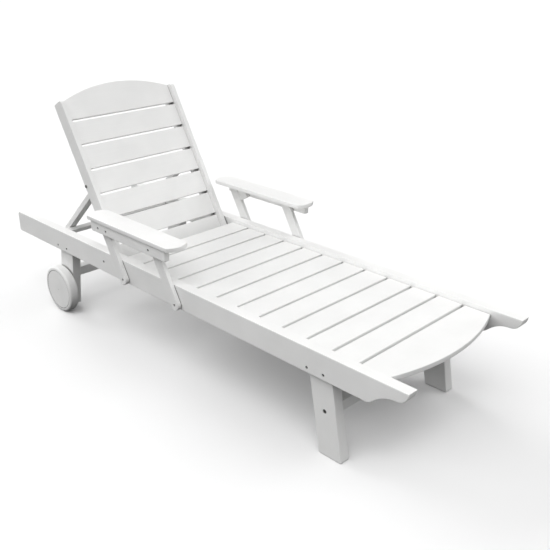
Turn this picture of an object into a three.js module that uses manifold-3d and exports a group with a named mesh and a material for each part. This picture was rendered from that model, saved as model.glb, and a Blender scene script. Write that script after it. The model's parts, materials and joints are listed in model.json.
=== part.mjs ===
// A reclining sun lounger in solid white plastic lumber, in millimetres, +Z up.
// +X runs to the foot end, +Y is the sitter's left. The origin is under the middle of the rails.
// Inside the file x is counted from the head end of the rails.
import * as THREE from "three";
import { mergeVertices } from "three/addons/utils/BufferGeometryUtils.js";
import Module from "manifold-3d";

const wasm = await Module();
wasm.setup();

// ---- Driving dimensions -------------------------------------------------------------------

const degrees = Math.PI / 180;
const fit = 0.3; // gap between pieces that touch
const past = 1; // how far a cutting tool runs past the face it cuts
const edge = { radius: 2, steps: 2 }; // eased edge of every board

const seat = {
  clearWidth: 547, // between the side rails
  slatWidth: 90.9,
  slatThick: 16,
  slatGap: 11,
  slats: 12,
  belowRailTop: 15.3,
  footCrown: 53.9, // how far the last slat bulges at its middle
  behindSlats: 78.8, // from the backrest pivot to the first slat
};
const rail = {
  topHeight: 353.5,
  depth: 84.5,
  thick: 38,
  pastSlats: 110.3,
  headTopCorner: 14,
  headBottomCorner: 8,
  noseRadius: 40,
  coveRadius: 100,
  coveTurn: 42 * degrees,
  heelRadius: 30,
};
const back = {
  recline: 60.2 * degrees, // rest angle above the horizontal
  belowPivot: 48.1, // lower edge of the lowest slat
  slatWidth: 89.3,
  slatGap: 9.5,
  slats: 7,
  slatThick: 16,
  slatRecess: 19.8, // slat faces sit this far behind the stiles' front edges
  crownSide: 74.4, // height of the arched slat at its ends
  crownRise: 48.9, // extra height at its middle
  pastHead: 28.1, // rail left in front of the stile tops when flat
  aboveSeat: 1.8, // step between the flat backrest and the seat
};
const stile = {
  thick: 18.6,
  behind: 8.4,
  fromRail: 6.5,
  tail: 30,
  aboveSlats: 1.8,
  corner: 15,
  rearCorner: 4,
};
const batten = { width: 20, thick: 20.5, endGap: 12 };
const prop = {
  fromPivot: 291,
  armWidth: 22,
  armDepth: 31,
  fromBatten: 8.6,
  headRoom: 1.4,
  boltMargin: 2,
};
const crossbar = { width: 38, thick: 17.3, fromRail: 3.5, armEnd: 378, underStile: 2.4, corner: 4 };
const rack = {
  thick: 19,
  rest: 286.3, // height of the crossbar's lowest corner at rest
  floorGap: 0.5,
  passGap: 0.9,
  steps: 8,
  lead: 0.7, // share of a step by which each tip comes before its place
  toothDepth: 6,
  headMargin: 18,
  toothRun: 1.5,
  body: 12,
  footMargin: 21,
};
const leg = { thick: 37, width: 89, lean: 9.6 * degrees, tongue: 15.9, corner: 6, tongueDrop: 1 };
const frontLeg = { fromFoot: 273, stretcherHeight: 153.7 };
const rearLeg = { pastRack: 13.6, clearFloor: 24, stretcherHeight: 160 };
const ledger = { width: 20, height: 21.6, margin: 12, seatEnd: 30 };
const stretcher = { width: 38, height: 36.5 };
const wheel = {
  radius: 96.9,
  width: 40,
  shoulder: 9,
  fromLeg: 3,
  rim: 14,
  web: 11,
  hub: 24,
  draft: 1,
  pocketDepth: 8,
  pocketMargin: 1.5,
  sides: 40,
};
const cap = { radius: 80.8, groove: 1.9, thick: 5, bevel: 0.6, dimple: 2.2, dimpleDepth: 1 };
const arm = {
  boardWidth: 89.4,
  boardLength: 509,
  boardThick: 15,
  inset: 8.1, // the board's inner edge lies inside the rail's inner face
  frontCrown: 18,
  backCrown: 23,
  corner: 16,
  frontRound: 8, // depth of the rounded corners at the front and back ends
  backRound: 5.3,
  cornerBulge: 2,
  clearStile: 9,
  apronThick: 20.3,
  apronHeight: 40,
  apronLength: 438.5,
  apronStart: 34.6,
  apronCorner: 5,
};
const link = {
  length: 204.9,
  width: 40.7,
  thick: 15.5,
  lean: 29.6 * degrees,
  fromRail: 1,
  pivotInset: 44.3, // top pivot from the apron's back end
  spacing: 302.1,
  underBoard: 2.5,
  aboveUnderside: 17.6,
};
const block = { length: 44, reach: 43.2 };
const bolt = {
  shank: 4,
  running: 0.5,
  clearance: 0.7,
  hole: 5,
  legHole: 7.5, // the counterbores for the bolts into the front stretcher
  holeDepth: 5,
  sides: 12,
  collar: 9,
  head: 6,
  axle: 6,
  axleFlange: 4.5,
  underCap: 1,
  nut: 8,
  domeRadius: 6.5,
  domeBevel: 1,
  domeRise: 2.5,
};
const screws = { pitch: 64.2, height: 17, legOffset: 4.6 };

const white = { color: 0xf1f1ee, roughness: 0.62, metalness: 0 };
const shade = { color: 0xe9e9e6, roughness: 0.7, metalness: 0 };
const steel = { color: 0x9a9c9e, roughness: 0.35, metalness: 1 };

// ---- Derived sizes ------------------------------------------------------------------------

const railInner = seat.clearWidth / 2;
const railOuter = railInner + rail.thick;
const railUnder = rail.topHeight - rail.depth;
const seatTop = rail.topHeight - seat.belowRailTop;
const seatPitch = seat.slatWidth + seat.slatGap;

const stileOuter = railInner - stile.fromRail;
const stileInner = stileOuter - stile.thick;
const backHalf = stileInner - fit;
const battenInner = backHalf - batten.width;
const propOuter = battenInner - prop.fromBatten;
const propInner = propOuter - prop.armDepth;

// Depths across the backrest, forward of the line through its pivot.
const barStart = prop.armWidth / 2 + fit;
const propDepth = barStart - stile.behind - crossbar.underStile;
const slatRear = propDepth + prop.armWidth / 2 + prop.headRoom;
const slatFront = slatRear + back.slatThick;
const stileFront = slatFront + back.slatRecess;

const backPitch = back.slatWidth + back.slatGap;
const crownStart = (back.slats - 1) * backPitch - back.belowPivot;
const crownEnd = crownStart + back.crownSide;
const stileTop = crownEnd + stile.aboveSlats;
const pivot = { x: stileTop + back.pastHead, z: seatTop + back.aboveSeat - slatFront };

const seatStart = pivot.x + seat.behindSlats;
const seatEnd = seatStart + seat.slats * seatPitch - seat.slatGap;
const railLength = seatEnd + rail.pastSlats;

// The prop frame: its arms slope down to the crossbar, whose lowest corner rests in the racks.
const barEnd = barStart + crossbar.thick;
const propPivot = atRecline(back.recline, prop.fromPivot, propDepth);
const propSlope = slopeReaching(propPivot.z - rack.rest);

const legInner = railInner - leg.tongue;
const legOuter = legInner + leg.thick;
const ledgerTop = seatTop - seat.slatThick - fit;
const ledgerUnder = ledgerTop - ledger.height;
const tongueTop = ledgerUnder - leg.tongueDrop;
const leanPerHeight = Math.tan(leg.lean);
const rackFoot = barFootEdge() + rack.footMargin;
const wheelCentre = {
  x: rackFoot + rearLeg.pastRack + leg.width / 2 - (tongueTop - wheel.radius) * leanPerHeight,
  z: wheel.radius,
};
const frontFoot = { x: railLength - frontLeg.fromFoot, z: 0 };
const wheelInner = legOuter + wheel.fromLeg;
const wheelOuter = wheelInner + wheel.width;

const linkInner = railOuter + link.fromRail;
const linkOuter = linkInner + link.thick;
const linkPivotZ = railUnder + link.aboveUnderside;
const linkRise = link.length * Math.cos(link.lean);
const linkRun = link.length * Math.sin(link.lean);
const armPivotZ = linkPivotZ + linkRise;
const boardUnder = armPivotZ + link.width / 2 + link.underBoard;
const boardInner = railInner - arm.inset;
const boardOuter = boardInner + arm.boardWidth;
const apronInner = linkOuter + fit;
const apronOuter = apronInner + arm.apronThick;
const boardBack = stileFrontAt(boardUnder) + arm.clearStile;
const apronBack = boardBack + arm.apronStart;
const rearTopX = apronBack + link.pivotInset;

// A point fixed to the backrest, up it by `up` and forward by `forward`, at a lean from flat.
function atRecline(angle, up, forward) {
  return {
    x: pivot.x - up * Math.cos(angle) + forward * Math.sin(angle),
    z: pivot.z + up * Math.sin(angle) + forward * Math.cos(angle),
  };
}

// How steeply the prop arms slope when the crossbar's lowest corner is `drop` below their pivot.
function slopeReaching(drop) {
  const reach = Math.hypot(crossbar.armEnd, barEnd);
  return Math.asin(drop / reach) - Math.atan2(barEnd, crossbar.armEnd);
}

// A point of the prop frame, `along` its arms and `under` them, part of the way to lying flat.
function onProp(share, along, under) {
  const hinge = atRecline(back.recline * (1 - share), prop.fromPivot, propDepth);
  const slope = propSlope * (1 - share);
  return {
    x: hinge.x - along * Math.cos(slope) + under * Math.sin(slope),
    z: hinge.z - along * Math.sin(slope) - under * Math.cos(slope),
  };
}

function barFootEdge() {
  return onProp(0, crossbar.armEnd - crossbar.width, barEnd).x;
}

// Where the stiles' front edges are at a height, with the backrest up.
function stileFrontAt(height) {
  const up = (height - pivot.z - stileFront * Math.cos(back.recline)) / Math.sin(back.recline);
  return atRecline(back.recline, up, stileFront).x;
}

// ---- Shapes -------------------------------------------------------------------------------

// A closed outline with its corners rounded; each point is [x, y, radius].
function outline(points) {
  const shape = new THREE.Shape();
  points.forEach(([x, y, radius], i) => {
    const corner = new THREE.Vector2(x, y);
    if (!radius) {
      if (i) shape.lineTo(x, y);
      else shape.moveTo(x, y);
      return;
    }
    const before = new THREE.Vector2(...points.at(i - 1).slice(0, 2));
    const after = new THREE.Vector2(...points[(i + 1) % points.length].slice(0, 2));
    const start = before.sub(corner).setLength(radius).add(corner);
    const end = after.sub(corner).setLength(radius).add(corner);
    if (i) shape.lineTo(start.x, start.y);
    else shape.moveTo(start.x, start.y);
    shape.quadraticCurveTo(x, y, end.x, end.y);
  });
  shape.closePath();
  return shape;
}

function rectangle(x0, y0, x1, y1, radius = 0) {
  return outline([
    [x0, y0, radius],
    [x1, y0, radius],
    [x1, y1, radius],
    [x0, y1, radius],
  ]);
}

// A plate along Z from 0 to `thick`, with the edges of its two faces eased.
function plate(shape, thick, steps = 6) {
  return new THREE.ExtrudeGeometry(shape, {
    depth: thick - 2 * edge.radius,
    bevelThickness: edge.radius,
    bevelSize: edge.radius,
    bevelOffset: -edge.radius,
    bevelSegments: edge.steps,
    curveSegments: steps,
  }).translate(0, 0, edge.radius);
}

// Turns an outline drawn in x and z so that it is extruded along Y, from y0 to y1.
function standing(geometry, y0, y1) {
  return geometry.rotateX(Math.PI / 2).translate(0, Math.max(y0, y1), 0);
}

function upright(shape, y0, y1, steps) {
  return standing(plate(shape, Math.abs(y1 - y0), steps), y0, y1);
}

// A board running across the lounger: its section has eased edges and its ends are sawn square.
function crossBoard(x, z, width, thick, half, radius = edge.radius) {
  const section = rectangle(x - width / 2, z - thick / 2, x + width / 2, z + thick / 2, radius);
  const length = 2 * half;
  const sawn = new THREE.ExtrudeGeometry(section, {
    depth: length,
    bevelEnabled: false,
    curveSegments: 3,
  });
  return standing(sawn, -half, half);
}

// A straight-sided plan outline whose +X end is an arc bulging by `crown`.
function crowned(x0, x1, half, crown) {
  const radius = (half * half + crown * crown) / (2 * crown);
  const centre = x1 + crown - radius;
  const swing = Math.asin(half / radius);
  const shape = new THREE.Shape();
  shape.moveTo(x0, -half);
  shape.lineTo(x1, -half);
  shape.absarc(centre, 0, radius, -swing, swing, false);
  shape.lineTo(x0, half);
  shape.closePath();
  return shape;
}

// A round pin or hole along Y.
function round(radius, y0, y1, x, z) {
  return new THREE.CylinderGeometry(radius, radius, Math.abs(y1 - y0), bolt.sides).translate(
    x,
    (y0 + y1) / 2,
    z,
  );
}

function box(x0, x1, y0, y1, z0, z1) {
  return new THREE.BoxGeometry(x1 - x0, Math.abs(y1 - y0), z1 - z0).translate(
    (x0 + x1) / 2,
    (y0 + y1) / 2,
    (z0 + z1) / 2,
  );
}

// A body turned about Y; each profile point is [radius, y] and `side` sets which way y counts.
function turned(profile, side, x, z, sides) {
  const points = profile.map(([radius, y]) => new THREE.Vector2(radius, y * side));
  if (side < 0) points.reverse();
  return new THREE.LatheGeometry(points, sides).translate(x, 0, z);
}

function solidOf(geometry) {
  const bare = new THREE.BufferGeometry();
  bare.setAttribute("position", geometry.getAttribute("position").clone());
  if (geometry.index) bare.setIndex(geometry.index.clone());
  const merged = mergeVertices(bare, 1e-3);
  return new wasm.Manifold(
    new wasm.Mesh({
      numProp: 3,
      vertProperties: merged.attributes.position.array,
      triVerts: new Uint32Array(merged.index.array),
    }),
  );
}

// The geometry with the tools cut out of it.
function cut(geometry, ...tools) {
  const left = tools.reduce((solid, tool) => solid.subtract(solidOf(tool)), solidOf(geometry));
  const mesh = left.getMesh();
  const made = new THREE.BufferGeometry();
  made.setAttribute("position", new THREE.BufferAttribute(mesh.vertProperties, 3));
  made.setIndex(new THREE.BufferAttribute(mesh.triVerts, 1));
  return made;
}

// ---- Assembly helpers ---------------------------------------------------------------------

const lounger = new THREE.Group();
lounger.position.x = -railLength / 2;

function add(name, geometry, finish = white, parent = lounger) {
  const mesh = new THREE.Mesh(geometry, new THREE.MeshStandardMaterial(finish));
  mesh.name = name;
  parent.add(mesh);
}

const sides = [
  { name: "left", sign: 1 },
  { name: "right", sign: -1 },
];

// ---- Fixed frame --------------------------------------------------------------------------

function railShape() {
  const turn = rail.coveTurn;
  const noseX = railLength - rail.noseRadius;
  const noseZ = rail.topHeight;
  const coveZ = noseZ - rail.noseRadius - rail.coveRadius;
  const coveStart = {
    x: noseX - rail.coveRadius * Math.sin(turn),
    z: coveZ + rail.coveRadius * Math.cos(turn),
  };
  const heelRise = rail.heelRadius * (1 - Math.cos(turn));
  const straight = (coveStart.z - railUnder - heelRise) / Math.tan(turn);
  const heelX = coveStart.x - straight - rail.heelRadius * Math.sin(turn);
  const bottom = rail.headBottomCorner;
  const top = rail.headTopCorner;
  const down = -Math.PI / 2;
  const shape = new THREE.Shape();
  shape.moveTo(bottom, railUnder);
  shape.lineTo(heelX, railUnder);
  shape.absarc(heelX, railUnder + rail.heelRadius, rail.heelRadius, down, down + turn, false);
  shape.absarc(noseX, coveZ, rail.coveRadius, turn - down, -down, true);
  shape.absarc(noseX, noseZ, rail.noseRadius, down, 0, false);
  shape.lineTo(top, rail.topHeight);
  shape.absarc(top, rail.topHeight - top, top, -down, Math.PI, false);
  shape.lineTo(0, railUnder + bottom);
  shape.absarc(bottom, railUnder + bottom, bottom, Math.PI, Math.PI - down, false);
  return shape;
}

const backLinkX = rearTopX + linkRun;
const frontLinkX = backLinkX + link.spacing;
const screwHeight = railUnder + screws.height;

// Centre line of a leg at a height; `way` is +1 for a foot that kicks toward the foot end.
function legX(foot, way, height) {
  return foot.x - way * (height - foot.z) * leanPerHeight;
}

function screwPairs() {
  return [
    [frontFoot, 1],
    [wheelCentre, -1],
  ].flatMap(([foot, way]) => {
    const middle = legX(foot, way, screwHeight) - screws.legOffset;
    return [middle - screws.pitch / 2, middle + screws.pitch / 2];
  });
}

for (const { name, sign } of sides) {
  const outer = sign * railOuter;
  const blind = sign * (railOuter - bolt.holeDepth);
  const outside = sign * (railOuter + past);
  const holes = [...screwPairs(), backLinkX, frontLinkX].map((x) => {
    const z = x === backLinkX || x === frontLinkX ? linkPivotZ : screwHeight;
    return round(bolt.hole, blind, outside, x, z);
  });
  const inside = sign * (railInner - past);
  const through = round(bolt.hole, inside, outside, pivot.x, pivot.z);
  const body = upright(railShape(), sign * railInner, outer, 4);
  add(`side_rail_${name}`, cut(body, ...holes, through));
}

for (let i = 0; i < seat.slats; i += 1) {
  const name = `seat_slat_${String(i + 1).padStart(2, "0")}`;
  const start = seatStart + i * seatPitch;
  const middle = start + seat.slatWidth / 2;
  const half = railInner - fit;
  if (i < seat.slats - 1) {
    add(name, crossBoard(middle, seatTop - seat.slatThick / 2, seat.slatWidth, seat.slatThick, half));
  } else {
    const shape = crowned(start, start + seat.slatWidth, half, seat.footCrown);
    add(name, plate(shape, seat.slatThick, 10).translate(0, 0, seatTop - seat.slatThick));
  }
}

for (const { name, sign } of sides) {
  const near = sign * (railInner - fit);
  const far = sign * (railInner - fit - ledger.width);
  const shape = rectangle(seatStart + ledger.margin, ledgerUnder, seatEnd - ledger.seatEnd, ledgerTop);
  add(`seat_ledger_${name}`, upright(shape, near, far, 2), shade);
}

// Saw-toothed rack: the notch at rest carries the crossbar, and the other tips pass just under it.
function rackShape() {
  const lowest = onProp(1, crossbar.armEnd, barEnd).z;
  const under = Math.min(lowest, rack.rest) - rack.body;
  const restFloor = rack.rest - rack.floorGap;
  const points = [[rackFoot, under], [rackFoot, restFloor]];
  for (let i = 1; i <= rack.steps; i += 1) {
    const corner = onProp((i - rack.lead) / rack.steps, crossbar.armEnd, barEnd);
    if (corner.x < rack.headMargin) break;
    const valley = i === 1 ? restFloor : corner.z - rack.toothDepth;
    points.push([corner.x, valley]);
    points.push([corner.x - rack.toothRun, corner.z - rack.passGap]);
  }
  const [headX, headZ] = points.at(-1);
  points.push([headX - rack.toothRun, headZ - rack.toothDepth]);
  points.push([headX - rack.toothRun, under]);
  return outline(points.map(([x, z]) => [x, z, 0]).reverse());
}

for (const { name, sign } of sides) {
  const teeth = new THREE.ExtrudeGeometry(rackShape(), { depth: rack.thick, bevelEnabled: false });
  const near = sign * (railInner - fit);
  const far = sign * (railInner - fit - rack.thick);
  add(`notched_rack_${name}`, standing(teeth, near, far), shade);
}

// A leg leans, and above the rail's underside only its tongue goes on, inside the rail.
function legBody(foot, way, bottom, sign) {
  const edgeAt = (height, end) => legX(foot, way, height) + (end * leg.width) / 2;
  const shape = outline([
    [edgeAt(bottom, -1), bottom, leg.corner],
    [edgeAt(bottom, 1), bottom, leg.corner],
    [edgeAt(tongueTop, 1), tongueTop, leg.corner],
    [edgeAt(tongueTop, -1), tongueTop, leg.corner],
  ]);
  const body = upright(shape, sign * legInner, sign * legOuter, 3);
  const reach = leg.width + (tongueTop - bottom);
  const notch = box(
    foot.x - reach,
    foot.x + reach,
    sign * (railInner - fit),
    sign * (railOuter + past),
    railUnder - fit,
    rail.topHeight,
  );
  return { body, notch };
}

for (const { name, sign } of sides) {
  const front = legBody(frontFoot, 1, 0, sign);
  const stretcherX = legX(frontFoot, 1, frontLeg.stretcherHeight);
  const boltHole = round(
    bolt.legHole,
    sign * (legOuter - bolt.holeDepth),
    sign * (legOuter + past),
    stretcherX,
    frontLeg.stretcherHeight,
  );
  add(`front_leg_${name}`, cut(front.body, front.notch, boltHole));

  const rear = legBody(wheelCentre, -1, rearLeg.clearFloor, sign);
  const axleHole = round(
    bolt.axle + bolt.running,
    sign * (legInner - past),
    sign * (legOuter + past),
    wheelCentre.x,
    wheelCentre.z,
  );
  add(`rear_leg_${name}`, cut(rear.body, rear.notch, axleHole));
}

function stretcherAt(foot, way, height) {
  const half = legInner - fit;
  return crossBoard(legX(foot, way, height), height, stretcher.width, stretcher.height, half);
}

add("front_stretcher", stretcherAt(frontFoot, 1, frontLeg.stretcherHeight));
add("rear_stretcher", stretcherAt(wheelCentre, -1, rearLeg.stretcherHeight));

// ---- Wheels -------------------------------------------------------------------------------

// The tyre shoulders are quarter rounds; the outer face is recessed for the cap and the inner
// face is hollowed between rim and hub.
function wheelProfile() {
  const r = wheel.radius;
  const s = wheel.shoulder;
  const recess = cap.radius + cap.groove;
  const floor = wheelOuter - cap.thick - fit;
  const bore = bolt.axle + bolt.running;
  const pocket = bolt.axle + bolt.axleFlange + wheel.pocketMargin;
  const pocketFloor = floor - wheel.pocketDepth;
  const rimInside = r - wheel.rim;
  const shoulders = [];
  for (const [y, way] of [
    [wheelInner + s, -1],
    [wheelOuter - s, 1],
  ]) {
    for (let i = 0; i <= 3; i += 1) {
      const turn = (way < 0 ? 3 - i : i) * 30 * degrees;
      shoulders.push([r - s + s * Math.cos(turn), y + way * s * Math.sin(turn)]);
    }
  }
  return [
    [bore, wheelInner],
    [wheel.hub, wheelInner],
    [wheel.hub + wheel.draft, floor - wheel.web],
    [rimInside, floor - wheel.web],
    [rimInside, wheelInner],
    ...shoulders,
    [recess, wheelOuter],
    [recess, floor],
    [pocket, floor],
    [pocket, pocketFloor],
    [bore, pocketFloor],
    [bore, wheelInner],
  ];
}

function capProfile() {
  const face = wheelOuter;
  return [
    [0, face - cap.thick],
    [cap.radius, face - cap.thick],
    [cap.radius, face - cap.bevel],
    [cap.radius - cap.bevel, face],
    [cap.dimple, face],
    [cap.dimple, face - cap.dimpleDepth],
    [0, face - cap.dimpleDepth],
  ];
}

function axleProfile() {
  const start = legInner - bolt.nut;
  const headTop = wheelOuter - cap.thick - fit - bolt.underCap;
  const neck = headTop - bolt.head;
  const shank = bolt.axle;
  const flange = shank + bolt.axleFlange;
  return [
    [0, start],
    [flange, start],
    [flange, legInner - fit],
    [shank, legInner - fit],
    [shank, neck],
    [flange, neck],
    [flange, headTop],
    [0, headTop],
  ];
}

for (const { name, sign } of sides) {
  const { x, z } = wheelCentre;
  add(`wheel_${name}`, turned(wheelProfile(), sign, x, z, wheel.sides));
  add(`wheel_cap_${name}`, turned(capProfile(), sign, x, z, wheel.sides));
  add(`axle_bolt_${name}`, turned(axleProfile(), sign, x, z, bolt.sides), steel);
}

// ---- Backrest -----------------------------------------------------------------------------

// Drawn lying flat, pivot at the origin and its top toward -X, then stood up about the pivot.
const backrest = new THREE.Group();
backrest.position.set(pivot.x, 0, pivot.z);
backrest.rotation.y = back.recline;
lounger.add(backrest);

const pinHole = (y0, y1, x, z) => round(bolt.shank + bolt.clearance, y0, y1, x, z);

for (const { name, sign } of sides) {
  const shape = outline([
    [stile.tail, -stile.behind, stile.corner],
    [stile.tail, stileFront, stile.corner],
    [-stileTop, stileFront, stile.corner],
    [-stileTop, -stile.behind, stile.rearCorner],
  ]);
  const pins = [
    pinHole(sign * (stileInner - past), sign * (stileOuter + past), 0, 0),
    pinHole(sign * (stileInner - past), sign * (stileOuter + past), -prop.fromPivot, propDepth),
  ];
  add(
    `back_stile_${name}`,
    cut(upright(shape, sign * stileInner, sign * stileOuter, 4), ...pins),
    white,
    backrest,
  );

  const rear = slatRear - fit;
  const strip = rectangle(
    -(crownEnd - batten.endGap),
    rear - batten.thick,
    back.belowPivot - batten.endGap,
    rear,
  );
  const battenPins = [0, -prop.fromPivot].map((x) =>
    pinHole(sign * (battenInner - past), sign * (backHalf + past), x, x ? propDepth : 0),
  );
  add(
    `back_batten_${name}`,
    cut(upright(strip, sign * battenInner, sign * backHalf, 2), ...battenPins),
    shade,
    backrest,
  );
}

for (let i = 0; i < back.slats; i += 1) {
  const start = i * backPitch - back.belowPivot;
  if (i < back.slats - 1) {
    const middle = start + back.slatWidth / 2;
    const board = crossBoard(
      -middle,
      slatRear + back.slatThick / 2,
      back.slatWidth,
      back.slatThick,
      backHalf,
    );
    add(`back_slat_${i + 1}`, board, white, backrest);
  } else {
    const shape = crowned(crownStart, crownEnd, backHalf, back.crownRise);
    const board = plate(shape, back.slatThick, 12)
      .rotateZ(Math.PI)
      .translate(0, 0, slatRear);
    add(`back_slat_${i + 1}`, board, white, backrest);
  }
}

// ---- Pivot bolts --------------------------------------------------------------------------

// Head in the rail's counterbore, collar as the spacer between rail and stile.
function backBoltProfile() {
  const head = railOuter - bolt.holeDepth;
  const shank = bolt.shank;
  return [
    [0, battenInner],
    [shank, battenInner],
    [shank, stileOuter + fit],
    [bolt.collar, stileOuter + fit],
    [bolt.collar, railInner - fit],
    [shank, railInner - fit],
    [shank, head - bolt.head],
    [bolt.hole - fit, head - bolt.head],
    [bolt.hole - fit, head],
    [0, head],
  ];
}

// Head on the stile's outer face, shank through stile and batten into the prop arm, and a collar
// as the spacer between batten and arm.
function propBoltProfile() {
  const shank = bolt.shank;
  const tip = propInner + prop.boltMargin;
  const under = stileOuter + fit;
  return [
    [0, tip],
    [shank, tip],
    [shank, propOuter + fit],
    [bolt.collar, propOuter + fit],
    [bolt.collar, battenInner - fit],
    [shank, battenInner - fit],
    [shank, under],
    [bolt.domeRadius, under],
    [bolt.domeRadius - bolt.domeBevel, under + bolt.domeRise],
    [0, under + bolt.domeRise],
  ];
}

for (const { name, sign } of sides) {
  const backBolt = turned(backBoltProfile(), sign, pivot.x, pivot.z, bolt.sides);
  add(`back_pivot_bolt_${name}`, backBolt, steel);
  const propBolt = turned(propBoltProfile(), sign, -prop.fromPivot, propDepth, bolt.sides);
  add(`prop_pivot_bolt_${name}`, propBolt, steel, backrest);
}

// ---- Prop frame ---------------------------------------------------------------------------

const propFrame = new THREE.Group();
propFrame.position.set(propPivot.x, 0, propPivot.z);
propFrame.rotation.y = -propSlope;
lounger.add(propFrame);

// An arm with a full-round end about its pivot at the origin, running off toward -X.
function propArmShape() {
  const half = prop.armWidth / 2;
  const shape = new THREE.Shape();
  shape.absarc(0, 0, half, -Math.PI / 2, Math.PI / 2, false);
  shape.lineTo(-crossbar.armEnd, half);
  shape.lineTo(-crossbar.armEnd, -half);
  shape.closePath();
  return shape;
}

for (const { name, sign } of sides) {
  const body = upright(propArmShape(), sign * propInner, sign * propOuter, 6);
  const pin = pinHole(sign * (propInner - past), sign * (propOuter + past), 0, 0);
  add(`prop_arm_${name}`, cut(body, pin), shade, propFrame);
}

add(
  "prop_crossbar",
  crossBoard(
    crossbar.width / 2 - crossbar.armEnd,
    -(barStart + barEnd) / 2,
    crossbar.width,
    crossbar.thick,
    railInner - crossbar.fromRail,
    crossbar.corner,
  ),
  shade,
  propFrame,
);

// ---- Folding arms -------------------------------------------------------------------------

// A link with full-round ends, drawn hanging from its top pivot at the origin.
function linkShape() {
  const half = link.width / 2;
  const shape = new THREE.Shape();
  shape.absarc(0, 0, half, 0, Math.PI, false);
  shape.absarc(0, -link.length, half, Math.PI, 2 * Math.PI, false);
  shape.closePath();
  return shape;
}

function boardShape(low, high) {
  const half = (high - low) / 2;
  const middle = (high + low) / 2;
  const front = boardBack + arm.boardLength;
  const curve = (crown) => (half * half + crown * crown) / (2 * crown);
  const frontRadius = curve(arm.frontCrown);
  const backRadius = curve(arm.backCrown);
  // The corners are cut where a slightly shorter arc meets a round tangent to the long side.
  const frontSwing = Math.asin((half - arm.frontRound) / frontRadius);
  const backSwing = Math.asin((half - arm.backRound) / backRadius);
  const frontCorner = front - frontRadius * (1 - Math.cos(frontSwing));
  const shape = new THREE.Shape();
  shape.moveTo(frontCorner - arm.corner, low);
  const frontBulge = frontCorner - arm.cornerBulge;
  shape.quadraticCurveTo(frontBulge, low, frontCorner, low + arm.frontRound);
  shape.absarc(front - frontRadius, middle, frontRadius, -frontSwing, frontSwing, false);
  shape.quadraticCurveTo(frontBulge, high, frontCorner - arm.corner, high);
  const backCorner = boardBack + backRadius * (1 - Math.cos(backSwing));
  const backBulge = backCorner + arm.cornerBulge / 2;
  shape.lineTo(backCorner + arm.frontRound, high);
  shape.quadraticCurveTo(backBulge, high, backCorner, high - arm.backRound);
  shape.absarc(
    boardBack + backRadius,
    middle,
    backRadius,
    Math.PI - backSwing,
    Math.PI + backSwing,
    false,
  );
  shape.quadraticCurveTo(backBulge, low, backCorner + arm.frontRound, low);
  shape.closePath();
  return shape;
}

for (const { name, sign } of sides) {
  const low = Math.min(sign * boardInner, sign * boardOuter);
  const high = Math.max(sign * boardInner, sign * boardOuter);
  const board = plate(boardShape(low, high), arm.boardThick, 5).translate(0, 0, boardUnder);
  add(`arm_board_${name}`, board);

  const apronTop = boardUnder - fit;
  const apronLow = apronTop - arm.apronHeight;
  const apronShape = rectangle(
    apronBack,
    apronLow,
    apronBack + arm.apronLength,
    apronTop,
    arm.apronCorner,
  );
  const blockX = rearTopX + block.reach / Math.cos(link.lean);
  const apronHoles = [rearTopX, blockX, rearTopX + link.spacing].map((x) =>
    round(
      bolt.hole,
      sign * (apronOuter - bolt.holeDepth),
      sign * (apronOuter + past),
      x,
      armPivotZ,
    ),
  );
  const apron = upright(apronShape, sign * apronInner, sign * apronOuter, 3);
  add(`arm_apron_${name}`, cut(apron, ...apronHoles));

  // The block's side lies along the rear link and stops it leaning any further.
  const inner = block.reach - link.width / 2 - 2 * fit;
  const blockGroup = new THREE.Group();
  blockGroup.position.set(blockX, 0, armPivotZ);
  blockGroup.rotation.y = -link.lean;
  lounger.add(blockGroup);
  const headRoom = boardUnder - 2 * fit - armPivotZ;
  const top = (headRoom - inner * Math.sin(link.lean)) / Math.cos(link.lean);
  const blockShape = rectangle(-inner, top - block.length, inner, top, arm.apronCorner);
  const blockBody = upright(blockShape, sign * linkInner, sign * (linkOuter - fit), 3);
  add(`stop_block_${name}`, blockBody, shade, blockGroup);

  for (const [place, x] of [
    ["rear", rearTopX],
    ["front", rearTopX + link.spacing],
  ]) {
    const hanging = new THREE.Group();
    hanging.position.set(x, 0, armPivotZ);
    hanging.rotation.y = -link.lean;
    lounger.add(hanging);
    const blind = sign * (linkOuter - bolt.holeDepth);
    const outside = sign * (linkOuter + past);
    const hole = round(bolt.hole, blind, outside, 0, -link.length);
    const body = upright(linkShape(), sign * linkInner, sign * linkOuter, 5);
    add(`${place}_link_${name}`, cut(body, hole), white, hanging);
  }
}

export default lounger;
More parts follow.
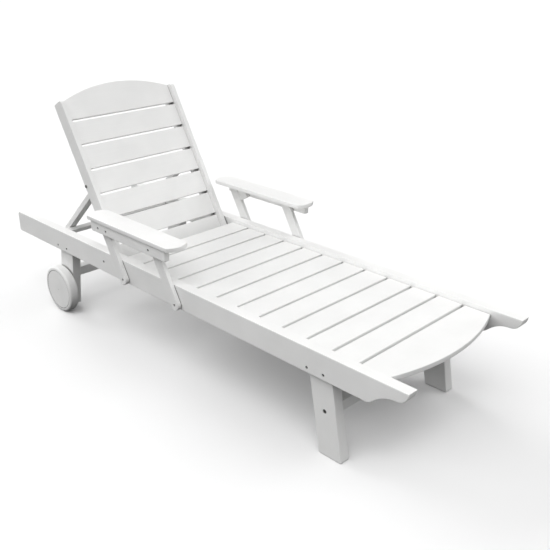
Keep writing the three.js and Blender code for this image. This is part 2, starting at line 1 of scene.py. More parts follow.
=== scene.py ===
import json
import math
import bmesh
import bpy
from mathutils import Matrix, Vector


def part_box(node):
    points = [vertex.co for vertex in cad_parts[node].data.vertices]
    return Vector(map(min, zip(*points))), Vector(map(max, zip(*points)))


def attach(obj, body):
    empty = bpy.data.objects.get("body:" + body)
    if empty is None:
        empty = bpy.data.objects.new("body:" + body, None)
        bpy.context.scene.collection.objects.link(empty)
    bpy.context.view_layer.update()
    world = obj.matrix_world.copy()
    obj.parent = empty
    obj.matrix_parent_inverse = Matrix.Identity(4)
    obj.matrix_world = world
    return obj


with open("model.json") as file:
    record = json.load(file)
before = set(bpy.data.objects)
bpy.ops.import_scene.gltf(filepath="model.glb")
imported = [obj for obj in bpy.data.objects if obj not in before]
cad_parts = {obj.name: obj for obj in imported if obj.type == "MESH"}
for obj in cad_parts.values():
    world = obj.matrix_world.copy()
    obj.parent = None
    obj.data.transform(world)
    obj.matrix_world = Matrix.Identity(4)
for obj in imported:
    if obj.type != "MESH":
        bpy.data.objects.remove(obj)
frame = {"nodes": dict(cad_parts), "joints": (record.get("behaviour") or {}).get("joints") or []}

# %% [markdown]
# # A reclining sun lounger in white plastic lumber
# The lounger is built from solid boards of recycled polyethylene. Two deep side rails carry the
# seat slats, the backrest turns between them on two bolts, and a prop frame behind it drops into
# racks on the rails. The boards come in from the fixed frame at their real place and size, so
# this file only adds the fasteners, the finishes, the floor, the light and the camera.

MM = 0.001
nodes = frame["nodes"]
joints = {joint["name"]: joint for joint in frame["joints"]}
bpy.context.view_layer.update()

# %% [markdown]
# ## Small tools
# Colours are written as the hex values a paint chart gives and turned to the linear numbers that
# the shader works in. Every node of every material is added by one function, which sets its
# inputs and links it up, so a material reads as a list of steps.

# %% Colours and one function that adds a node
def linear(hex_colour):
    """An sRGB hex value as linear RGBA."""
    parts = [int(hex_colour[i:i + 2], 16) / 255 for i in (1, 3, 5)]
    flat = [c / 12.92 if c <= 0.04045 else ((c + 0.055) / 1.055) ** 2.4 for c in parts]
    return (*flat, 1.0)


def add_node(tree, kind, settings=None, **inputs):
    """Adds a node. Each input is a value or a socket to link from, named or as i0, i1, i2..."""
    node = tree.nodes.new(kind)
    for key, value in (settings or {}).items():
        setattr(node, key, value)
    for key, value in inputs.items():
        name = key.replace("_", " ")
        socket = node.inputs[int(key[1:])] if key[1:].isdigit() else node.inputs[name]
        if isinstance(value, bpy.types.NodeSocket):
            tree.links.new(value, socket)
        else:
            socket.default_value = value
    return node


def ramp(tree, factor, *stops):
    """A colour ramp from (position, hex colour) stops."""
    node = add_node(tree, "ShaderNodeValToRGB", Fac=factor)
    elements = node.color_ramp.elements
    while len(elements) < len(stops):
        elements.new(0.5)
    for element, (position, colour) in zip(elements, stops):
        element.position = position
        element.color = linear(colour)
    return node.outputs["Color"]


def empty_material(name):
    """A material with only an output and a principled shader, which are returned with it."""
    material = bpy.data.materials.new(name)
    material.use_nodes = True
    tree = material.node_tree
    tree.nodes.clear()
    shader = add_node(tree, "ShaderNodeBsdfPrincipled")
    output = add_node(tree, "ShaderNodeOutputMaterial")
    tree.links.new(shader.outputs[0], output.inputs[0])
    return material, tree, shader


print("mid grey as linear:", [round(part, 3) for part in linear("#808080")])

# %% [markdown]
# ## Extruded HDPE lumber
# The boards are high-density polyethylene, melted and pushed through a die. The skin that cools
# against the die keeps fine lines along the board, a slight orange peel between them, and a
# satin shine. The colour goes right through, so a worn edge is only smoother; the rounded edges
# are also painted a little lighter, a painted highlight. The marks are set in real sizes first,
# so that every recipe below can share them.

# %% Sizes of the board's surface marks
DRAW_LINE = 2.4 * MM  # spacing of the die lines; the real ones are nearer 1 mm, too fine to show
DRAW_LENGTH = 160 * MM  # how far one line runs before it fades
LINE_DEPTH = 0.10 * MM
PEEL = 1.1 * MM  # orange peel of the cooled skin
PEEL_DEPTH = 0.05 * MM
CLOUD = 120 * MM  # slow drift of the white along a board
EDGE_BAND = 1.6 * MM  # how far the band on an edge reaches: worn smoother, and painted lighter as a highlight
EDGE_FROM = 0.995  # cosine of the turn where the edge band starts, 6 degrees
EDGE_FULL = 0.85  # cosine of the turn where it is full, 32 degrees
SHADE_REACH = 14 * MM  # joints and hollows narrower than this get a painted shade
JOINT_SHADE = 0.9  # how much of the white the painted shade hides at the bottom of a joint
BOARD_OPEN = 0.60  # share of open air above which a board gets no painted shade
MOULDING_OPEN = 0.90  # the same on wheels and caps, whose only joint is a shallow groove
HDPE_IOR = 1.54
print("die lines every", round(DRAW_LINE / MM, 2), "mm, edges worn for", round(EDGE_BAND / MM, 2))

# %% [markdown]
# ## Worn edges, a painted highlight, and painted shade in joints
# Hands and cushions rub the rounded edges smooth. They could be painted in by hand, but a bevel
# node finds every one by itself: where it turns the surface, there is an edge. The edges are also
# painted a little lighter, a painted highlight. Narrow joints and hollows are painted darker, a
# painted shade that draws the thin dark lines between the boards. Ambient occlusion tells how
# much of the open air a spot sees, so it places the painted shade.

# %% Where edges are rubbed and painted lighter, and where joints get painted shade
def edge_band_mask(tree, width):
    """1 on the rounded edges and 0 on the faces, from how far a bevel turns the surface."""
    bevel = add_node(tree, "ShaderNodeBevel", {"samples": 6}, Radius=width)
    plain = add_node(tree, "ShaderNodeNewGeometry").outputs["Normal"]
    turn = add_node(tree, "ShaderNodeVectorMath", {"operation": "DOT_PRODUCT"},
                    i0=bevel.outputs[0], i1=plain)
    edge = add_node(tree, "ShaderNodeMapRange", Value=turn.outputs["Value"],
                    From_Min=EDGE_FROM, From_Max=EDGE_FULL, To_Min=0.0, To_Max=1.0)
    return edge.outputs["Result"]


def painted_joint_shade(tree, colour, open_from):
    """The colour, darkened where ambient occlusion finds a narrow joint or hollow: a painted
    shade.

    A spot that sees more of the open air than the share `open_from` gets no painted shade.
    """
    open_air = add_node(tree, "ShaderNodeAmbientOcclusion", {"samples": 8}, Distance=SHADE_REACH)
    shelter = add_node(tree, "ShaderNodeMapRange", Value=open_air.outputs["AO"],
                       From_Min=0.0, From_Max=open_from, To_Min=JOINT_SHADE, To_Max=0.0)
    # painted shade: near-black mixed into the colour where the spot is sheltered
    shaded_colour = add_node(tree, "ShaderNodeMix", {"data_type": "RGBA"}, i6=colour, i7=linear("#2e2e2d"))
    tree.links.new(shelter.outputs["Result"], shaded_colour.inputs[0])
    return shaded_colour.outputs[2]


# the reach of the painted shade in joints and hollows
print("dust gathers in joints under", round(SHADE_REACH / MM, 1), "mm")

# %% [markdown]
# ## The lumber itself
# One noise is stretched along the board for the die lines, one is fine for the orange peel and
# one is broad for the slow drift of the white. The lines set the shine as well as the relief, so
# light breaks up along them. A board that leans has its pattern turned with it.

# %% White lumber with its lines along the board
def extruded_hdpe(name, lengthwise, lean=0.0, dark="#ededec", light="#f4f4f3"):
    """White lumber whose die lines run along X or Y, on boards leaning by `lean` about Y."""
    material, tree, shader = empty_material(name)
    place = add_node(tree, "ShaderNodeTexCoord").outputs["Object"]
    turned = add_node(tree, "ShaderNodeVectorRotate", {"rotation_type": "Y_AXIS"},
                      Vector=place, Angle=-lean).outputs[0]
    stretch = [1 / DRAW_LINE] * 3
    stretch["XY".index(lengthwise)] = 1 / DRAW_LENGTH
    along = add_node(tree, "ShaderNodeMapping", Vector=turned, Scale=stretch).outputs[0]
    lines = add_node(tree, "ShaderNodeTexNoise", Vector=along, Scale=1.0, Detail=3.0)
    peel = add_node(tree, "ShaderNodeTexNoise", Vector=turned, Scale=1 / PEEL, Detail=1.0)
    cloud = add_node(tree, "ShaderNodeTexNoise", Vector=turned, Scale=1 / CLOUD, Detail=3.0)
    # edge band: worn smoother in the roughness, and below also painted lighter as a painted
    # highlight
    worn = edge_band_mask(tree, EDGE_BAND)

    tone = add_node(tree, "ShaderNodeMath", {"operation": "MULTIPLY_ADD"},
                    i0=lines.outputs["Fac"], i1=0.35, i2=cloud.outputs["Fac"]).outputs[0]
    body = ramp(tree, tone, (0.40, dark), (0.95, light))
    # the rounded edges mixed toward a lighter white: a painted highlight
    colour = add_node(tree, "ShaderNodeMix", {"data_type": "RGBA"}, i6=body, i7=linear("#f6f6f5"))
    painted_edge_highlight = add_node(tree, "ShaderNodeMath", {"operation": "MULTIPLY"}, i0=worn, i1=0.5)
    tree.links.new(painted_edge_highlight.outputs[0], colour.inputs[0])
    satin = add_node(tree, "ShaderNodeMapRange", Value=lines.outputs["Fac"],
                     From_Min=0.3, From_Max=0.7, To_Min=0.50, To_Max=0.62)
    polished = add_node(tree, "ShaderNodeMath", {"operation": "MULTIPLY_ADD"},
                        i0=worn, i1=-0.12, i2=satin.outputs[0])
    groove = add_node(tree, "ShaderNodeBump", Strength=0.35, Distance=LINE_DEPTH,
                      Height=lines.outputs["Fac"])
    skin = add_node(tree, "ShaderNodeBump", Strength=0.30, Distance=PEEL_DEPTH,
                    Height=peel.outputs["Fac"], Normal=groove.outputs[0])
    # the board's joints and hollows darkened: painted shade
    tree.links.new(painted_joint_shade(tree, colour.outputs[2], BOARD_OPEN), shader.inputs["Base Color"])
    tree.links.new(polished.outputs[0], shader.inputs["Roughness"])
    tree.links.new(skin.outputs[0], shader.inputs["Normal"])
    shader.inputs["IOR"].default_value = HDPE_IOR
    return material


print("lumber varies over", round(CLOUD / MM), "mm")

# %% [markdown]
# ## One lumber for each direction
# The lines have to follow each board, so the recipe is called once for each way a board can run.
# The angles of the leaning ones come from the frame's own joints, and only the legs' splay is
# given here.

# %% One lumber for each way a board can run
recline = math.radians(-joints["backrest_recline"]["range_deg"][0])
prop_turn = math.radians(joints["prop_swing"]["range_deg"][1]) - recline
link_rise = Vector(joints["arm_level_left"]["pos_m"]) - Vector(joints["arm_fold_left"]["pos_m"])
link_lean = math.atan2(link_rise.x, link_rise.z)
leg_lean = math.radians(9.6)  # the legs splay outwards by this much

long_lumber = extruded_hdpe("extruded_hdpe_lumber_long", "X")
cross_lumber = extruded_hdpe("extruded_hdpe_lumber_cross", "Y")
back_long_lumber = extruded_hdpe("extruded_hdpe_lumber_stile", "X", recline)
back_cross_lumber = extruded_hdpe("extruded_hdpe_lumber_back_slat", "Y", recline)
prop_lumber = extruded_hdpe("extruded_hdpe_lumber_prop", "X", -prop_turn)
link_lumber = extruded_hdpe("extruded_hdpe_lumber_link", "X", link_lean + math.pi / 2)
front_leg_lumber = extruded_hdpe("extruded_hdpe_lumber_front_leg", "X", math.pi / 2 - leg_lean)
rear_leg_lumber = extruded_hdpe("extruded_hdpe_lumber_rear_leg", "X", math.pi / 2 + leg_lean)
print("recline", round(math.degrees(recline), 2), "prop", round(math.degrees(prop_turn), 2))

# %% [markdown]
# ## Moulded wheels and caps
# The wheels are injection-moulded polyethylene. A mould leaves an even, very fine spark texture
# rather than lines, and turning marks of the mould show as faint rings about the axle. The cap
# is a smoother moulding pressed into the wheel's face; the groove round it gets a painted shade.

# %% Moulded polyethylene for wheels and caps
SPARK = 0.9 * MM  # grain of the mould's spark-eroded face
RING = 3.0 * MM  # spacing of the mould's turning marks
RING_DEPTH = 0.05 * MM


def moulded_hdpe(name, axle, roughness, grain_depth, dark, light):
    """White moulding with rings about an axle along Y, whose place is `axle`."""
    material, tree, shader = empty_material(name)
    place = add_node(tree, "ShaderNodeTexCoord").outputs["Object"]
    centred = add_node(tree, "ShaderNodeVectorMath", {"operation": "SUBTRACT"},
                       i0=place, i1=axle).outputs[0]
    flat = add_node(tree, "ShaderNodeVectorMath", {"operation": "MULTIPLY"},
                    i0=centred, i1=(1, 0, 1)).outputs[0]
    reach = add_node(tree, "ShaderNodeVectorMath", {"operation": "LENGTH"}, i0=flat)
    rings = add_node(tree, "ShaderNodeTexNoise", {"noise_dimensions": "1D"},
                     W=reach.outputs["Value"], Scale=1 / RING, Detail=2.0)
    grain = add_node(tree, "ShaderNodeTexNoise", Vector=place, Scale=1 / SPARK, Detail=2.0)
    cloud = add_node(tree, "ShaderNodeTexNoise", Vector=place, Scale=1 / CLOUD, Detail=3.0)
    worn = edge_band_mask(tree, EDGE_BAND)
    colour = ramp(tree, cloud.outputs["Fac"], (0.3, dark), (0.7, light))
    gloss = add_node(tree, "ShaderNodeMapRange", Value=grain.outputs["Fac"],
                     From_Min=0.3, From_Max=0.7, To_Min=roughness - 0.05, To_Max=roughness + 0.06)
    polished = add_node(tree, "ShaderNodeMath", {"operation": "MULTIPLY_ADD"},
                        i0=worn, i1=-0.10, i2=gloss.outputs[0])
    turning = add_node(tree, "ShaderNodeBump", Strength=0.25, Distance=RING_DEPTH,
                       Height=rings.outputs["Fac"])
    skin = add_node(tree, "ShaderNodeBump", Strength=0.35, Distance=grain_depth,
                    Height=grain.outputs["Fac"], Normal=turning.outputs[0])
    # the groove and other hollows darkened: painted shade
    tree.links.new(painted_joint_shade(tree, colour, MOULDING_OPEN), shader.inputs["Base Color"])
    tree.links.new(polished.outputs[0], shader.inputs["Roughness"])
    tree.links.new(skin.outputs[0], shader.inputs["Normal"])
    shader.inputs["IOR"].default_value = HDPE_IOR
    return material


axle = Vector(joints["wheel_spin_left"]["pos_m"])
wheel_plastic = moulded_hdpe("moulded_hdpe_wheel", axle, roughness=0.55,
                             grain_depth=0.05 * MM, dark="#e8e8e7", light="#f1f1f0")
cap_plastic = moulded_hdpe("moulded_hdpe_cap", axle, roughness=0.48,
                           grain_depth=0.03 * MM, dark="#ebebea", light="#f3f3f2")
print("rings about the axle at", [round(value, 4) for value in axle])

# %% [markdown]
# ## Stainless screws and bolts
# The fasteners are turned from stainless bar, so their marks are fine rings. Outdoors they go
# dull and slightly brown. Their colour is also set far darker than bare steel, a painted shade,
# so that sunk in their holes they read as small dark dots.

# %% Turned stainless steel
DULL_PATCH = 4 * MM  # size of the patches that weather has dulled
TOOL_MARK = 0.4 * MM  # spacing of the lathe's marks
TOOL_DEPTH = 0.02 * MM


def turned_stainless():
    material, tree, shader = empty_material("turned_stainless_steel")
    place = add_node(tree, "ShaderNodeTexCoord").outputs["Object"]
    dull = add_node(tree, "ShaderNodeTexNoise", Vector=place, Scale=1 / DULL_PATCH, Detail=4.0)
    fine = add_node(tree, "ShaderNodeTexNoise", Vector=place, Scale=1 / TOOL_MARK, Detail=2.0)
    # random dull patches, all set far darker than bare steel: a painted shade of the counterbores
    colour = ramp(tree, dull.outputs["Fac"], (0.3, "#454341"), (0.7, "#6b6b6a"))
    rough = add_node(tree, "ShaderNodeMapRange", Value=dull.outputs["Fac"],
                     From_Min=0.3, From_Max=0.7, To_Min=0.45, To_Max=0.28)
    marks = add_node(tree, "ShaderNodeBump", Strength=0.3, Distance=TOOL_DEPTH,
                     Height=fine.outputs["Fac"])
    shader.inputs["Metallic"].default_value = 1.0
    tree.links.new(colour, shader.inputs["Base Color"])
    tree.links.new(rough.outputs[0], shader.inputs["Roughness"])
    tree.links.new(marks.outputs[0], shader.inputs["Normal"])
    return material


stainless = turned_stainless()
print("made", stainless.name)

# %% [markdown]
# ## Dressing the boards
# Each board takes the lumber that runs its way. A board's eased edges come in as two flat strips.
# Welding the mesh, splitting it only at sharp corners and weighting the normals by area makes
# those strips read as one round, and leaves the wide faces flat. No vertex moves.

# %% Which finish each piece takes, and its shading
FINISHES = [
    ("seat_slat", cross_lumber),
    ("front_stretcher", cross_lumber),
    ("rear_stretcher", cross_lumber),
    ("back_slat", back_cross_lumber),
    ("back_stile", back_long_lumber),
    ("back_batten", back_long_lumber),
    ("prop_arm", prop_lumber),
    ("prop_crossbar", cross_lumber),
    ("rear_link", link_lumber),
    ("front_link", link_lumber),
    ("front_leg", front_leg_lumber),
    ("rear_leg", rear_leg_lumber),
    ("wheel_cap", cap_plastic),
    ("wheel", wheel_plastic),
    ("axle_bolt", stainless),
    ("back_pivot_bolt", stainless),
    ("prop_pivot_bolt", stainless),
]
ROUND_BELOW = math.radians(50)  # edges that turn less than this are part of a round
SAME_POINT = 0.01 * MM  # corners nearer than this are one corner


def finish_for(name):
    """The finish whose name start matches; rails, arms, ledgers and the rest run lengthwise."""
    return next((finish for start, finish in FINISHES if name.startswith(start)), long_lumber)


def rounded_shading(piece):
    """Smooth over the eased edges without moving a vertex."""
    mesh = piece.data
    for spare in ("custom_normal", "sharp_face", "sharp_edge"):
        if spare in mesh.attributes:
            mesh.attributes.remove(mesh.attributes[spare])
    mesh.shade_smooth()
    weld = piece.modifiers.new("weld", "WELD")
    weld.merge_threshold = SAME_POINT
    split = piece.modifiers.new("split", "EDGE_SPLIT")
    split.split_angle = ROUND_BELOW
    split.use_edge_sharp = False
    weight = piece.modifiers.new("weight", "WEIGHTED_NORMAL")
    weight.weight = 100


for name, piece in nodes.items():
    piece.data.materials.clear()
    piece.data.materials.append(finish_for(name))
    rounded_shading(piece)
print("dressed", len(nodes), "pieces")

# %% [markdown]
# ## Fasteners
# The joints of the real lounger are screws in counterbored holes. A screw head is a turned
# shape with a six-lobed socket pressed into it. It is drawn here as rings of points about the
# screw's axis, and the socket's rings swing in and out six times, so one function makes them all.

# %% A turned solid with a lobed socket
RING_POINTS = 24
LOBES = 6


def turned(bm, profile, place, axis):
    """Adds a closed solid: each profile entry is (radius, height along the axis, lobe depth)."""
    stand = Vector((0, 0, 1)).rotation_difference(Vector(axis)).to_matrix().to_4x4()
    move = Matrix.Translation(place) @ stand
    rings = []
    for radius, height, lobe in profile:
        if radius == 0:
            rings.append([bm.verts.new(move @ Vector((0, 0, height)))])
            continue
        ring = []
        for i in range(RING_POINTS):
            turn = 2 * math.pi * i / RING_POINTS
            reach = radius * (1 + lobe * math.cos(LOBES * turn))
            point = Vector((reach * math.cos(turn), reach * math.sin(turn), height))
            ring.append(bm.verts.new(move @ point))
        rings.append(ring)
    for low, high in zip(rings, rings[1:]):
        for i in range(RING_POINTS):
            a, b = low[i % len(low)], low[(i + 1) % len(low)]
            c, d = high[(i + 1) % len(high)], high[i % len(high)]
            bm.faces.new(list(dict.fromkeys([a, b, c, d])))


print("each ring has", RING_POINTS, "points")

# %% [markdown]
# ## The shape of a screw
# The head is low and domed, and the top of its shank shows where a hole is open. Its parts keep
# the same proportions at every size, so the profile is given as shares of the head's radius.

# %% Profile of a screw
SOCKET_DEEP = 0.12  # how far the socket's lobes swing, as a share of its radius


def screw_profile(head, top=0.0, length=12 * MM):
    """A screw with a head of this radius, whose top stands this far out from its place."""
    socket = head * 0.45
    return [
        (0, top - length, 0),
        (head * 0.5, top - length, 0),
        (head * 0.5, top - head * 0.5, 0),
        (head * 0.96, top - head * 0.5, 0),
        (head, top - head * 0.3, 0),
        (head * 0.86, top - head * 0.06, 0),
        (head * 0.66, top, 0),
        (socket, top, SOCKET_DEEP),
        (socket * 0.94, top - head * 0.36, SOCKET_DEEP),
        (0, top - head * 0.42, 0),
    ]


print("profile has", len(screw_profile(5 * MM)), "rings")

# %% [markdown]
# ## Setting fasteners in place
# Fasteners that are alike and move together share one mesh. Each set rides on the body that it
# is screwed into, so a link's screw turns with its link and a rail's washer stays put.

# %% A set of like fasteners on one body
def fastener_set(name, body, profile, places):
    """One mesh of identical fasteners on one body; each place is (point, axis)."""
    bm = bmesh.new()
    for place, axis in places:
        turned(bm, profile, Vector(place), axis)
    bmesh.ops.recalc_face_normals(bm, faces=bm.faces)
    mesh = bpy.data.meshes.new(name)
    bm.to_mesh(mesh)
    bm.free()
    mesh.materials.append(stainless)
    piece = bpy.data.objects.new(name, mesh)
    bpy.context.scene.collection.objects.link(piece)
    mesh.shade_smooth()
    split = piece.modifiers.new("split", "EDGE_SPLIT")
    split.split_angle = ROUND_BELOW
    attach(piece, body)
    print(name, "on", body, "-", len(places))


print("sets are split where a turn is over", round(math.degrees(ROUND_BELOW)), "degrees")

# %% [markdown]
# ## Screws of the fixed frame
# Two screws through each rail hold a leg's tongue, one larger bolt through each front leg holds
# the stretcher.

# %% Leg screws and stretcher bolts
HOLE_DEPTH = 5 * MM  # the counterbores are this deep
HEAD = 4.5 * MM  # head radius of the frame's screws
HEAD_TOP = 2.2 * MM  # their tops stand this far above the floor of the counterbore
BOLT_HEAD = 6.8 * MM  # head radius of the stretcher's bolts
BOLT_TOP = 4.2 * MM
SLAT_HEAD = 4 * MM  # head radius of the screws that hold slats from below or behind
SIDES = (("left", 1), ("right", -1))

rail_low, rail_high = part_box("side_rail_left")
screw_height = rail_low.z + 17 * MM  # above the rails' lower edge
screw_pitch = 64.2 * MM  # between the two screws of one leg
screw_offset = 4.6 * MM  # the pair sits this far toward the head end of the leg's middle
leg_width = 89 * MM


def leg_middle(node, way):
    """The x of a leg's centre line at the height of its screws."""
    low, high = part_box(node)
    end = low.x if way > 0 else high.x
    return end + way * (leg_width / 2 + (high.z - screw_height) * math.tan(leg_lean))


rail_face = rail_high.y - HOLE_DEPTH
leg_screws = []
for side, sign in SIDES:
    for node, way in (("front_leg_", 1), ("rear_leg_", -1)):
        middle = leg_middle(node + side, way) - screw_offset
        for shift in (-screw_pitch / 2, screw_pitch / 2):
            leg_screws.append(((middle + shift, sign * rail_face, screw_height), (0, sign, 0)))
fastener_set("leg_screws", "frame", screw_profile(HEAD, HEAD_TOP), leg_screws)

stretcher_low, stretcher_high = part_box("front_stretcher")
stretcher_middle = (stretcher_low + stretcher_high) / 2
leg_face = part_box("front_leg_left")[1].y - HOLE_DEPTH
stretcher_bolts = [
    ((stretcher_middle.x, sign * leg_face, stretcher_middle.z), (0, sign, 0)) for _, sign in SIDES
]
fastener_set("stretcher_bolts", "frame", screw_profile(BOLT_HEAD, BOLT_TOP), stretcher_bolts)

# %% [markdown]
# ## Screws under the seat
# One screw goes up through each ledger into each slat. The one nearest the head end keeps clear
# of the ledger's end. The last slat, with the curved edge, gets no screw here.

# %% Slat screws
SLAT_HEAD_TOP = 1.6 * MM
SLAT_SHANK = 8 * MM
ledger_low, ledger_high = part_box("seat_ledger_left")
ledger_middle = (ledger_low + ledger_high) / 2
seat_slats = sorted(name for name in nodes if name.startswith("seat_slat"))
slat_screws = []
for name in seat_slats[:-1]:
    low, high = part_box(name)
    middle = max((low.x + high.x) / 2, ledger_low.x + HEAD * 2)
    for _, sign in SIDES:
        slat_screws.append(((middle, sign * ledger_middle.y, ledger_low.z + MM), (0, 0, -1)))
slat_screw = screw_profile(SLAT_HEAD, SLAT_HEAD_TOP, SLAT_SHANK)
fastener_set("slat_screws", "frame", slat_screw, slat_screws)

# %% [markdown]
# ## Pivots of the folding arms
# Each arm is a parallelogram: two links turn on the rail and the board turns on the links. The
# lower screws sit in the links and turn with them, over a thin washer that keeps link and rail
# apart. The upper ones sit in the apron, with one more that holds the stop block.

# %% Sizes at the pivots
link_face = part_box("rear_link_left")[1].y - HOLE_DEPTH
apron_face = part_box("arm_apron_left")[1].y - HOLE_DEPTH
rail_side = rail_high.y
washer_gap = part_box("rear_link_left")[0].y - rail_side
WASHER_FILL = 0.9  # share of the gap that the washer fills
WASHER_IN = 4 * MM
WASHER_OUT = 9 * MM
block_reach = 43.2 * MM / math.cos(link_lean)  # from the link's top pivot to the block's screw
LINK_HEAD_TOP = 2.4 * MM


def ring_profile(inner, outer, thick):
    """A flat washer with its outer edge eased, closed round its hole."""
    rim = 0.15 * thick
    return [
        (inner, 0, 0),
        (outer - rim, 0, 0),
        (outer, rim, 0),
        (outer, thick - rim, 0),
        (outer - rim, thick, 0),
        (inner, thick, 0),
        (inner, 0, 0),
    ]


washer = ring_profile(WASHER_IN, WASHER_OUT, washer_gap * WASHER_FILL)
print("washers", round(washer_gap * WASHER_FILL / MM, 2), "mm thick")

# %% [markdown]
# ## Screws and washers of the arms
# Places come from the joints themselves, so a screw can't drift off its pivot. The arm's own
# screws are three: two at the links' tops and one at the stop block between them.

# %% Link screws, washers and apron screws
for side, sign in SIDES:
    out = (0, sign, 0)
    washer_rear = sign * (rail_side + washer_gap * (1 - WASHER_FILL) / 2)
    top = Vector(joints["arm_level_" + side]["pos_m"])
    spacing = (Vector(joints["front_link_swing_" + side]["pos_m"])
               - Vector(joints["arm_fold_" + side]["pos_m"]))
    for place, joint in (("rear", "arm_fold_"), ("front", "front_link_swing_")):
        foot = Vector(joints[joint + side]["pos_m"])
        body = f"{place}_link_body_{side}"
        fastener_set(f"{place}_link_screw_{side}", body, screw_profile(HEAD, LINK_HEAD_TOP),
                     [((foot.x, sign * link_face, foot.z), out)])
        fastener_set(f"{place}_link_washer_{side}", "frame", washer,
                     [((foot.x, washer_rear, foot.z), out)])
    holes = (top, top + Vector((block_reach, 0, 0)), top + spacing)
    fastener_set(f"apron_screws_{side}", "arm_" + side, screw_profile(HEAD, HEAD_TOP),
                 [((hole.x, sign * apron_face, hole.z), out) for hole in holes])

# %% [markdown]
# ## Screws behind the backrest
# The back slats are screwed to two battens from behind. The battens lean with the backrest, so
# the rows are set out along its direction from the hinge.

# %% Batten screws
SCREW_UP_SLAT = 42 * MM  # from a slat's lower edge to its screw
OFF_BATTEN = 0.2 * MM  # the screws are set this far off the batten's face
BATTEN_HEAD_TOP = 1.8 * MM
hinge = Vector(joints["backrest_recline"]["pos_m"])
up = Vector((-math.cos(recline), 0, math.sin(recline)))
forward = Vector((math.sin(recline), 0, math.cos(recline)))


def across_back(node):
    """How far forward of the hinge line a node's faces are: (rear, front), in metres."""
    depths = [(v.co - hinge).dot(forward) for v in nodes[node].data.vertices]
    return min(depths), max(depths)


def along_back(node):
    """How far up from the hinge a node's lower and upper edges are, in metres."""
    heights = [(v.co - hinge).dot(up) for v in nodes[node].data.vertices]
    return min(heights), max(heights)


batten_rear = across_back("back_batten_left")[0]
batten_y = sum(corner.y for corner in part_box("back_batten_left")) / 2
back_slats = sorted(name for name in nodes if name.startswith("back_slat"))
batten_screws = []
for name in back_slats:
    low, high = along_back(name)
    height = low + SCREW_UP_SLAT
    for _, sign in SIDES:
        point = hinge + up * height + forward * (batten_rear - OFF_BATTEN)
        batten_screws.append(((point.x, sign * batten_y, point.z), -forward))
fastener_set("batten_screws", "backrest", screw_profile(SLAT_HEAD, BATTEN_HEAD_TOP), batten_screws)

# %% [markdown]
# ## Screws of the prop frame
# Two screws from below hold each end of the crossbar to its arm. They are set out along the arm
# from the prop's own pivot, because the arm slopes down to its rack.

# %% Crossbar screws
BAR_SCREW_STEP = 9 * MM  # each of the two stands this far from the bar's middle
BAR_HEAD_TOP = -0.2 * MM  # a little below the bar's face
prop_hinge = Vector(joints["prop_swing"]["pos_m"])
down_arm = Vector((-math.cos(prop_turn), 0, -math.sin(prop_turn)))
under_arm = Vector((math.sin(prop_turn), 0, -math.cos(prop_turn)))
bar = [v.co - prop_hinge for v in nodes["prop_crossbar"].data.vertices]
bar_middle = (min(p.dot(down_arm) for p in bar) + max(p.dot(down_arm) for p in bar)) / 2
bar_face = max(p.dot(under_arm) for p in bar)
arm_y = sum(corner.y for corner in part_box("prop_arm_left")) / 2
bar_screws = []
for _, sign in SIDES:
    for shift in (-BAR_SCREW_STEP, BAR_SCREW_STEP):
        point = prop_hinge + down_arm * (bar_middle + shift) + under_arm * bar_face
        bar_screws.append(((point.x, sign * arm_y, point.z), under_arm))
fastener_set("crossbar_screws", "prop", screw_profile(SLAT_HEAD, BAR_HEAD_TOP), bar_screws)

# %% [markdown]
# ## Floor
# The lounger stands on a plain pale studio floor that runs past the picture on every side. It is
# matt, and it throws no light back up, so the undersides stay grey.

# %% Floor
def studio_floor():
    """Matt pale paint with a very slow drift of tone."""
    material, tree, shader = empty_material("pale_studio_floor")
    place = add_node(tree, "ShaderNodeTexCoord").outputs["Object"]
    drift = add_node(tree, "ShaderNodeTexNoise", Vector=place, Scale=1.5, Detail=2.0)
    colour = ramp(tree, drift.outputs["Fac"], (0.3, "#f3f3f3"), (0.7, "#f5f5f5"))
    tree.links.new(colour, shader.inputs["Base Color"])
    shader.inputs["Roughness"].default_value = 0.9
    shader.inputs["Specular IOR Level"].default_value = 0.1
    return material


FLOOR_HALF = 40.0
FLOOR_DROP = 0.2 * MM  # keeps the floor just clear of the wheels and legs
floor_mesh = bpy.data.meshes.new("studio_floor")
corners = [(-FLOOR_HALF, -FLOOR_HALF, 0), (FLOOR_HALF, -FLOOR_HALF, 0),
           (FLOOR_HALF, FLOOR_HALF, 0), (-FLOOR_HALF, FLOOR_HALF, 0)]
floor_mesh.from_pydata(corners, [], [(0, 1, 2, 3)])
floor_mesh.materials.append(studio_floor())
floor = bpy.data.objects.new("studio_floor", floor_mesh)
floor.location.z = -FLOOR_DROP
floor.visible_diffuse = False  # the floor throws no light back up at the undersides
bpy.context.scene.collection.objects.link(floor)
print("floor", FLOOR_HALF * 2, "m across")

# %% [markdown]
# ## Light
# A dim white dome stands above the horizon, and seven broad softboxes under it do the work: low
# ones at the head end, weaker ones opposite, and high ones over the foot end and the sitter's
# right. Each is a sun with a very wide disc, which lights every board alike and keeps the
# shadows soft.

# %% Light
DOME_STRENGTH = 0.245
SOFTBOX_SPREAD = 45  # degrees of sky that each one fills
SOFTBOXES = (  # how high each one stands and where, in degrees, and how strong it is
    (22, 180, 1.79),
    (22, 240, 0.73),
    (22, 60, 0.60),
    (22, 0, 0.18),
    (55, 270, 0.59),
    (55, 315, 1.06),
    (55, 45, 0.47),
)


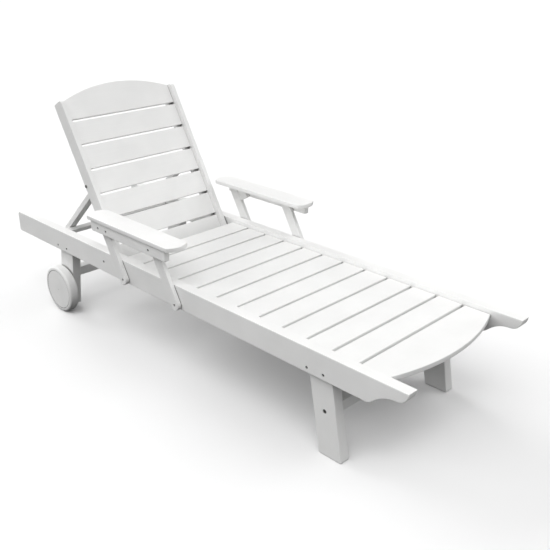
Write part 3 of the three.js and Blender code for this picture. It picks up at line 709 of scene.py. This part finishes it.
def softbox(elevation, bearing, strength):
    """A broad soft light seen from the lounger at this height and bearing, in degrees."""
    lamp = bpy.data.lights.new(f"softbox_{bearing}_{elevation}", "SUN")
    lamp.energy = strength
    lamp.angle = math.radians(SOFTBOX_SPREAD)
    holder = bpy.data.objects.new(lamp.name, lamp)
    turn = math.radians(bearing)
    rise = math.radians(elevation)
    toward = Vector((math.cos(turn) * math.cos(rise),
                     math.sin(turn) * math.cos(rise),
                     math.sin(rise)))
    holder.rotation_euler = toward.to_track_quat("Z", "Y").to_euler()
    bpy.context.scene.collection.objects.link(holder)


world = bpy.data.worlds.new("studio")
world.use_nodes = True
sky = world.node_tree
background = sky.nodes["Background"]
background.inputs["Color"].default_value = linear("#ffffff")
direction = add_node(sky, "ShaderNodeTexCoord").outputs["Generated"]
height = add_node(sky, "ShaderNodeSeparateXYZ", Vector=direction).outputs["Z"]
above = add_node(sky, "ShaderNodeMath", {"operation": "GREATER_THAN"}, i0=height, i1=0.0)
dome = add_node(sky, "ShaderNodeMath", {"operation": "MULTIPLY"},
                i0=above.outputs[0], i1=DOME_STRENGTH)
sky.links.new(dome.outputs[0], background.inputs["Strength"])
bpy.context.scene.world = world

for elevation, bearing, strength in SOFTBOXES:
    softbox(elevation, bearing, strength)
print("studio light:", len(SOFTBOXES), "softboxes under a dome of", DOME_STRENGTH)
bpy.context.scene.view_settings.view_transform = "Standard"

# %% [markdown]
# ## Camera
# A normal lens stands off the corner of the foot end, on the sitter's right, and looks down at the
# seat. The camera is placed from the point it aims at, so each value says one plain thing: where,
# from which way, how steeply and from how far.

# %% Camera
AIM = Vector((0.0895, 0.1362, 0.2598))
BEARING = math.radians(135.08)  # the way it looks, from +X toward +Y
PITCH = math.radians(23.77)
ROLL = math.radians(-0.13)
DISTANCE = 2.9
LENS = 50.2

looking = Vector((math.cos(PITCH) * math.cos(BEARING),
                  math.cos(PITCH) * math.sin(BEARING),
                  -math.sin(PITCH)))
camera = bpy.data.objects.new("camera", bpy.data.cameras.new("camera"))
camera.data.lens = LENS
camera.data.sensor_width = 36.0
camera.location = AIM - looking * DISTANCE
camera.rotation_euler = (looking.to_track_quat("-Z", "Y").to_matrix()
                         @ Matrix.Rotation(ROLL, 3, "Z")).to_euler()
bpy.context.scene.collection.objects.link(camera)
bpy.context.scene.camera = camera
print("camera at", [round(value, 3) for value in camera.location])
